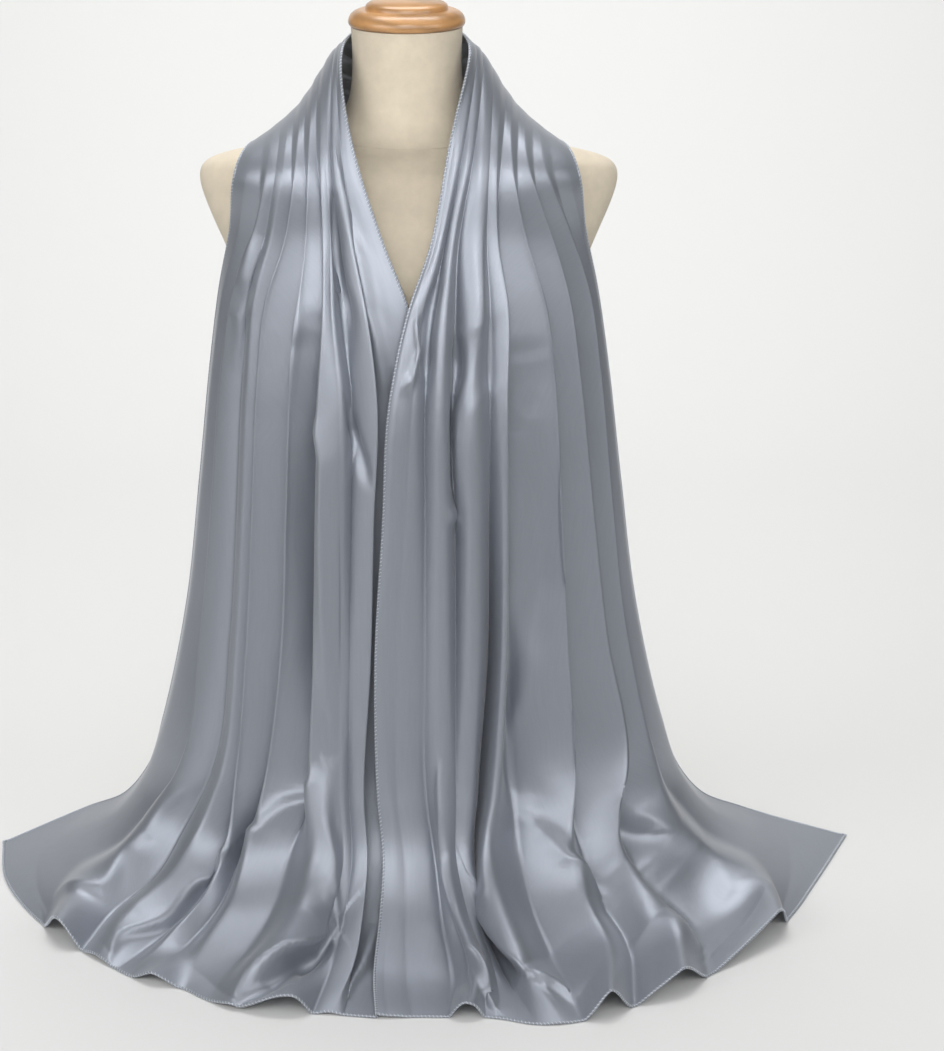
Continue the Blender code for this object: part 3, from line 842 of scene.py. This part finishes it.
def closed_tube(name, points, radius, resolution):
    """A round tube along a closed line, made a mesh."""
    curve = bpy.data.curves.new(name, "CURVE")
    curve.dimensions = "3D"
    curve.bevel_depth = radius
    curve.bevel_resolution = resolution
    curve.use_fill_caps = False
    spline = curve.splines.new("POLY")
    spline.points.add(len(points) - 1)
    flat = np.concatenate([points, np.ones((len(points), 1))], axis=1)
    spline.points.foreach_set("co", flat.ravel())
    spline.use_cyclic_u = True
    made = bpy.data.objects.new(name, curve)
    bpy.context.collection.objects.link(made)
    make_active(made)
    bpy.ops.object.convert(target="MESH")
    made = bpy.context.view_layer.objects.active
    bpy.ops.object.shade_smooth()
    return made


def new_material(name):
    """A new material with its node tree and its shader."""
    material = bpy.data.materials.new(name)
    material.use_nodes = True
    return material, material.node_tree, material.node_tree.nodes["Principled BSDF"]


def add_node(tree, kind, **settings):
    """A new node, its sockets and its settings given by name."""
    node = tree.nodes.new(kind)
    for key, value in settings.items():
        if key in node.inputs:
            node.inputs[key].default_value = value
        else:
            setattr(node, key, value)
    return node


def set_inputs(node, values):
    """Give sockets that are named in a table their values."""
    for name, value in values.items():
        node.inputs[name].default_value = value


def colour_by(tree, source, colour, shades, shader):
    """Colour the shader in shades of one colour, along a ramp that a texture runs through."""
    ramp = add_node(tree, "ShaderNodeValToRGB")
    tree.links.new(source, ramp.inputs["Fac"])
    elements = ramp.color_ramp.elements
    while len(elements) < len(shades):
        elements.new(0.5)
    for element, (place, factor) in zip(elements, shades):
        element.position = place
        element.color = (*(min(1.0, part * factor) for part in colour), 1.0)
    tree.links.new(ramp.outputs["Color"], shader.inputs["Base Color"])


def add_bump(tree, height, strength, distance):
    """A bump node that a texture drives."""
    bump = add_node(tree, "ShaderNodeBump", Strength=strength, Distance=distance)
    tree.links.new(height, bump.inputs["Height"])
    return bump


def satin_material(colour):
    """Satin: a smooth face of long floats, with soft slubs and a fine diagonal binding."""
    material, tree, shader = new_material("grey blue satin")
    uv = add_node(tree, "ShaderNodeUVMap", uv_map="cloth")
    stretch = add_node(tree, "ShaderNodeMapping")
    stretch.inputs["Scale"].default_value = (1.0, 0.08, 1.0)
    tree.links.new(uv.outputs["UV"], stretch.inputs["Vector"])
    slub = add_node(tree, "ShaderNodeTexNoise", Scale=420.0, Detail=3.0, Roughness=0.6)
    tree.links.new(stretch.outputs["Vector"], slub.inputs["Vector"])
    colour_by(tree, slub.outputs["Fac"], colour, SATIN_SHADES, shader)
    binding = add_node(
        tree, "ShaderNodeTexWave", Scale=1250.0, Distortion=0.6, bands_direction="DIAGONAL"
    )
    tree.links.new(uv.outputs["UV"], binding.inputs["Vector"])
    crush = add_node(tree, "ShaderNodeTexNoise", Scale=26.0, Detail=3.0, Roughness=0.5)
    object_place = add_node(tree, "ShaderNodeTexCoord")
    tree.links.new(object_place.outputs["Object"], crush.inputs["Vector"])
    soft = add_bump(tree, crush.outputs["Fac"], strength=0.12, distance=0.004)
    fine = add_bump(tree, binding.outputs["Fac"], strength=0.10, distance=0.0002)
    tree.links.new(soft.outputs["Normal"], fine.inputs["Normal"])
    tree.links.new(fine.outputs["Normal"], shader.inputs["Normal"])
    set_inputs(shader, SATIN_FINISH)
    return material


def thread_material(colour):
    """Twisted thread with darker and lighter turns."""
    material, tree, shader = new_material("overlock thread")
    place = add_node(tree, "ShaderNodeTexCoord")
    twist = add_node(tree, "ShaderNodeTexNoise", Scale=900.0, Detail=2.0)
    tree.links.new(place.outputs["Object"], twist.inputs["Vector"])
    colour_by(tree, twist.outputs["Fac"], colour, THREAD_SHADES, shader)
    set_inputs(shader, THREAD_FINISH)
    return material


def cover_material(colour):
    """Closely woven cotton with a few thicker threads."""
    material, tree, shader = new_material("woven cotton cover")
    place = add_node(tree, "ShaderNodeTexCoord")
    warp = add_node(tree, "ShaderNodeTexWave", Scale=520.0, Distortion=1.5, bands_direction="X")
    weft = add_node(tree, "ShaderNodeTexWave", Scale=520.0, Distortion=1.5, bands_direction="Z")
    slub = add_node(tree, "ShaderNodeTexNoise", Scale=60.0, Detail=5.0, Roughness=0.65)
    for texture in (warp, weft, slub):
        tree.links.new(place.outputs["Object"], texture.inputs["Vector"])
    weave = add_node(tree, "ShaderNodeMath", operation="MULTIPLY")
    tree.links.new(warp.outputs["Fac"], weave.inputs[0])
    tree.links.new(weft.outputs["Fac"], weave.inputs[1])
    colour_by(tree, slub.outputs["Fac"], colour, COVER_SHADES, shader)
    bump = add_bump(tree, weave.outputs["Value"], strength=0.35, distance=0.0004)
    tree.links.new(bump.outputs["Normal"], shader.inputs["Normal"])
    set_inputs(shader, COVER_FINISH)
    return material


def wood_material(colour):
    """Turned maple: growth rings a little off the axis, under clear varnish."""
    material, tree, shader = new_material("turned maple")
    place = add_node(tree, "ShaderNodeTexCoord")
    tilt = add_node(tree, "ShaderNodeMapping")
    tilt.inputs["Location"].default_value = (0.055, 0.012, -0.78)
    tilt.inputs["Rotation"].default_value = (0.22, 1.45, 0.0)
    tree.links.new(place.outputs["Object"], tilt.inputs["Vector"])
    rings = add_node(
        tree,
        "ShaderNodeTexWave",
        Scale=34.0,
        Distortion=2.6,
        Detail=3.0,
        wave_type="RINGS",
        rings_direction="Z",
    )
    tree.links.new(tilt.outputs["Vector"], rings.inputs["Vector"])
    rings.inputs["Detail Scale"].default_value = 1.4
    colour_by(tree, rings.outputs["Fac"], colour, WOOD_SHADES, shader)
    pores = add_node(tree, "ShaderNodeTexNoise", Scale=380.0, Detail=3.0)
    tree.links.new(tilt.outputs["Vector"], pores.inputs["Vector"])
    bump = add_bump(tree, pores.outputs["Fac"], strength=0.12, distance=0.0003)
    tree.links.new(bump.outputs["Normal"], shader.inputs["Normal"])
    set_inputs(shader, WOOD_FINISH)
    return material


def give_material(piece, material):
    """This material alone on a piece."""
    piece.data.materials.clear()
    piece.data.materials.append(material)


def satin_halves(sizes, surface, lengths, satin):
    """The two halves of the satin, which meet at the middle of the nape."""
    normal = sheet_normals(surface)
    flat = flat_places(surface, lengths)
    nape = len(surface) // 2
    halves = []
    for name, nodes, rows in (
        ("stole_satin_left", LEFT_NODES, slice(0, nape + 1)),
        ("stole_satin_right", RIGHT_NODES, slice(nape, len(surface))),
    ):
        half = shell_object(
            name, surface[rows], normal[rows], sizes.thickness, flat[rows].reshape(-1, 2)
        )
        give_material(half, satin)
        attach(half, "root")
        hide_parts(*nodes)
        halves.append(half)
    return halves


def overlocked_edge(sizes, surface, satin):
    """The rolled edge of the whole stole, and the thread that is wound round it."""
    radius = sizes.edge_radius
    path, facing, at = edge_path(surface, sizes.stitch_pitch / POINTS_PER_STITCH)
    path[:, 2] = np.maximum(path[:, 2], radius * EDGE_CLEARANCE)
    edge = closed_tube("stole_rolled_edge", path[::EDGE_SKIP], radius, EDGE_ROUNDNESS)
    give_material(edge, satin)
    forward = np.roll(path, -1, axis=0) - np.roll(path, 1, axis=0)
    forward /= np.linalg.norm(forward, axis=1, keepdims=True)
    outward = np.cross(forward, facing)
    turn = (2 * math.pi * at / sizes.stitch_pitch)[:, None]
    reach = radius * THREAD_REACH
    wound = path + (facing * np.cos(turn) + outward * np.sin(turn)) * reach
    wound[:, 2] = np.maximum(wound[:, 2], radius * THREAD_CLEARANCE)
    thread = closed_tube(
        "stole_overlock_thread", wound, radius * THREAD_RADIUS, THREAD_ROUNDNESS
    )
    give_material(thread, thread_material(sizes.thread))
    for trim in (edge, thread):
        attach(trim, "root")
    return [edge, thread]


class STOLE_OT_satin(bpy.types.Operator):
    """Drape the satin round the neck and overlock its edge"""

    bl_idname = "stole.satin"
    bl_label = "Satin stole"

    def execute(self, context):
        sizes = context.scene.stole_sizes
        numbers = section_numbers()
        surface, lengths = smooth_sheet(whole_stole(), numbers, sizes.columns)
        surface = press_creases(surface, numbers, lengths)
        surface[..., 2] = np.maximum(surface[..., 2], sizes.thickness)
        satin = satin_material(sizes.satin)
        halves = satin_halves(sizes, surface, lengths, satin)
        both_trims = overlocked_edge(sizes, surface, satin)
        return {"FINISHED"}


def round_off(piece, finish):
    """Weld a copy of a CAD solid and round it, all but its rims."""
    make_active(piece)
    bpy.ops.mesh.customdata_custom_splitnormals_clear()
    bpy.ops.object.mode_set(mode="EDIT")
    bpy.ops.mesh.select_mode(type="VERT")
    bpy.ops.mesh.select_all(action="SELECT")
    bpy.ops.mesh.remove_doubles(threshold=finish.weld)
    bpy.ops.mesh.mark_sharp(clear=True)
    bpy.ops.mesh.tris_convert_to_quads()
    bpy.ops.mesh.select_mode(type="EDGE")
    bpy.ops.mesh.select_all(action="DESELECT")
    bpy.ops.mesh.edges_select_sharp(sharpness=finish.rim_angle)
    bpy.ops.transform.edge_crease(value=1.0)
    bpy.ops.object.mode_set(mode="OBJECT")
    rounding = piece.modifiers.new("rounding", "SUBSURF")
    rounding.levels = COVER_LEVELS
    rounding.render_levels = COVER_LEVELS
    apply_modifiers(piece)
    bpy.ops.object.shade_smooth_by_angle(angle=finish.rim_angle)


class STOLE_OT_form(bpy.types.Operator):
    """Draw the woven cover smoothly over the dress form's body and neck"""

    bl_idname = "stole.form"
    bl_label = "Form cover"

    def execute(self, context):
        finish = context.scene.form_finish
        material = cover_material(finish.cover)
        for name, node in FORM_COVERS:
            cover = bpy.data.objects.new(name, bpy.data.objects[node].data.copy())
            context.collection.objects.link(cover)
            round_off(cover, finish)
            give_material(cover, material)
            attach(cover, "root")
            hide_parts(node)
        return {"FINISHED"}


class STOLE_OT_cap(bpy.types.Operator):
    """Turn the wooden cap of the neck"""

    bl_idname = "stole.cap"
    bl_label = "Neck cap"

    def execute(self, context):
        finish = context.scene.form_finish
        low = CAP_BOX[0][2]
        deselect_all()
        bpy.ops.mesh.primitive_circle_add(
            vertices=finish.cap_segments,
            radius=CAP_STEPS[0].reach,
            fill_type="NGON",
            location=(0.0, 0.0, low + CAP_STEPS[0].height),
        )
        cap = bpy.context.active_object
        cap.name = "neck_cap"
        bpy.ops.object.mode_set(mode="EDIT")
        bpy.ops.mesh.select_all(action="SELECT")
        for before, step in zip(CAP_STEPS, CAP_STEPS[1:]):
            rise = (0.0, 0.0, step.height - before.height)
            bpy.ops.mesh.extrude_region_move(TRANSFORM_OT_translate={"value": rise})
            scale = step.reach / before.reach
            bpy.ops.transform.resize(value=(scale, scale, 1.0))
        bpy.ops.mesh.select_all(action="SELECT")
        bpy.ops.mesh.normals_make_consistent(inside=False)
        bpy.ops.object.mode_set(mode="OBJECT")
        bpy.ops.object.transform_apply(location=True, rotation=True, scale=True)
        rounding = cap.modifiers.new("rounding", "BEVEL")
        rounding.width = CAP_RIM_WIDTH
        rounding.segments = CAP_RIM_SEGMENTS
        rounding.limit_method = "ANGLE"
        rounding.angle_limit = CAP_RIM_ANGLE
        apply_modifiers(cap)
        bpy.ops.object.shade_smooth_by_angle(angle=CAP_SMOOTH_ANGLE)
        give_material(cap, wood_material(finish.maple))
        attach(cap, "root")
        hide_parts("form_cap")
        return {"FINISHED"}


def select_back_edge(floor, back):
    """Select the floor's edge at the back and nothing else."""
    mesh = floor.data
    behind = {vertex.index for vertex in mesh.vertices if vertex.co.y > back - MM}
    for vertex in mesh.vertices:
        vertex.select = vertex.index in behind
    for edge in mesh.edges:
        edge.select = behind.issuperset(edge.vertices)
    for face in mesh.polygons:
        face.select = False


def lay_floor(sizes):
    """The paper: a floor that curves up into the backdrop."""
    deselect_all()
    back = sizes.backdrop_y
    bpy.ops.mesh.primitive_plane_add(
        size=sizes.floor_size, location=(0.0, back - sizes.floor_size / 2, 0.0)
    )
    floor = bpy.context.active_object
    floor.name = "studio_floor"
    bpy.ops.object.transform_apply(location=True, rotation=True, scale=True)
    select_back_edge(floor, back)
    bpy.ops.object.mode_set(mode="EDIT")
    bpy.ops.mesh.select_mode(type="EDGE")
    rise = (0.0, 0.0, sizes.floor_size / 2)
    bpy.ops.mesh.extrude_region_move(TRANSFORM_OT_translate={"value": rise})
    bpy.ops.object.mode_set(mode="OBJECT")
    sweep = floor.modifiers.new("sweep", "BEVEL")
    sweep.width = sizes.sweep_width
    sweep.segments = SWEEP_SEGMENTS
    apply_modifiers(floor)
    floor.data.shade_smooth()
    material, _, shader = new_material("pale paper")
    set_inputs(shader, {"Base Color": (*sizes.paper, 1.0), "Roughness": PAPER_ROUGHNESS})
    give_material(floor, material)


def aimed(place, aim):
    """Turn that points a lamp from its place at another place."""
    return (Vector(aim) - Vector(place)).to_track_quat("-Z", "Y").to_euler()


def set_lights(scene, sizes):
    """The even light from all round and the lamps."""
    world = bpy.data.worlds.new("studio")
    world.use_nodes = True
    background = world.node_tree.nodes["Background"]
    set_inputs(background, {"Color": (*SURROUND_COLOUR, 1.0), "Strength": sizes.surround})
    scene.world = world
    for light in LIGHTS:
        bpy.ops.object.light_add(
            type="AREA", location=light.place, rotation=aimed(light.place, light.aim)
        )
        lamp = bpy.context.active_object
        lamp.name = light.name
        lamp.data.shape = "RECTANGLE"
        lamp.data.size = light.width
        lamp.data.size_y = light.height
        lamp.data.energy = light.power * sizes.brightness
        lamp.data.spread = light.beam
        lamp.visible_camera = False


def set_camera(scene, sizes):
    """The camera, level from side to side and pointed a little down."""
    bpy.ops.object.camera_add(
        location=(CAMERA_X, CAMERA_Y, sizes.camera_height),
        rotation=(math.pi / 2 - sizes.camera_pitch, 0.0, 0.0),
    )
    camera = bpy.context.active_object
    camera.data.lens = sizes.focal_length
    camera.data.sensor_width = SENSOR_WIDTH
    camera.data.sensor_fit = "HORIZONTAL"
    scene.camera = camera


class STOLE_OT_stage(bpy.types.Operator):
    """Lay the floor and set the lights and the camera"""

    bl_idname = "stole.stage"
    bl_label = "Stage"

    def execute(self, context):
        sizes = context.scene.stage_sizes
        lay_floor(sizes)
        set_lights(context.scene, sizes)
        context.scene.view_settings.view_transform = "Standard"
        set_camera(context.scene, sizes)
        return {"FINISHED"}


class STOLE_PT_panel(bpy.types.Panel):
    """Sizes, finishes and pieces of the stole on its form"""

    bl_label = "Stole on a dress form"
    bl_idname = "STOLE_PT_panel"
    bl_space_type = "VIEW_3D"
    bl_region_type = "UI"
    bl_category = "Stole"

    def draw(self, context):
        layout = self.layout
        for group, title in GROUPS:
            box = layout.box()
            box.label(text=title)
            settings = getattr(context.scene, group)
            for name in settings.__annotations__:
                box.prop(settings, name)
        for operator in OPERATORS:
            layout.operator(operator.bl_idname)


GROUPS = (
    ("stole_sizes", "Stole"),
    ("form_finish", "Form"),
    ("stage_sizes", "Stage"),
)
OPERATORS = (STOLE_OT_satin, STOLE_OT_form, STOLE_OT_cap, STOLE_OT_stage)
CLASSES = (StoleSizes, FormFinish, StageSizes) + OPERATORS + (STOLE_PT_panel,)


def register():
    for kind in CLASSES:
        bpy.utils.register_class(kind)
    bpy.types.Scene.stole_sizes = bpy.props.PointerProperty(type=StoleSizes)
    bpy.types.Scene.form_finish = bpy.props.PointerProperty(type=FormFinish)
    bpy.types.Scene.stage_sizes = bpy.props.PointerProperty(type=StageSizes)


def unregister():
    del bpy.types.Scene.stage_sizes
    del bpy.types.Scene.form_finish
    del bpy.types.Scene.stole_sizes
    for kind in reversed(CLASSES):
        bpy.utils.unregister_class(kind)


def main():
    register()
    bpy.ops.stole.stage()
    bpy.ops.stole.form()
    bpy.ops.stole.cap()
    bpy.ops.stole.satin()


if __name__ == "__main__":
    main()
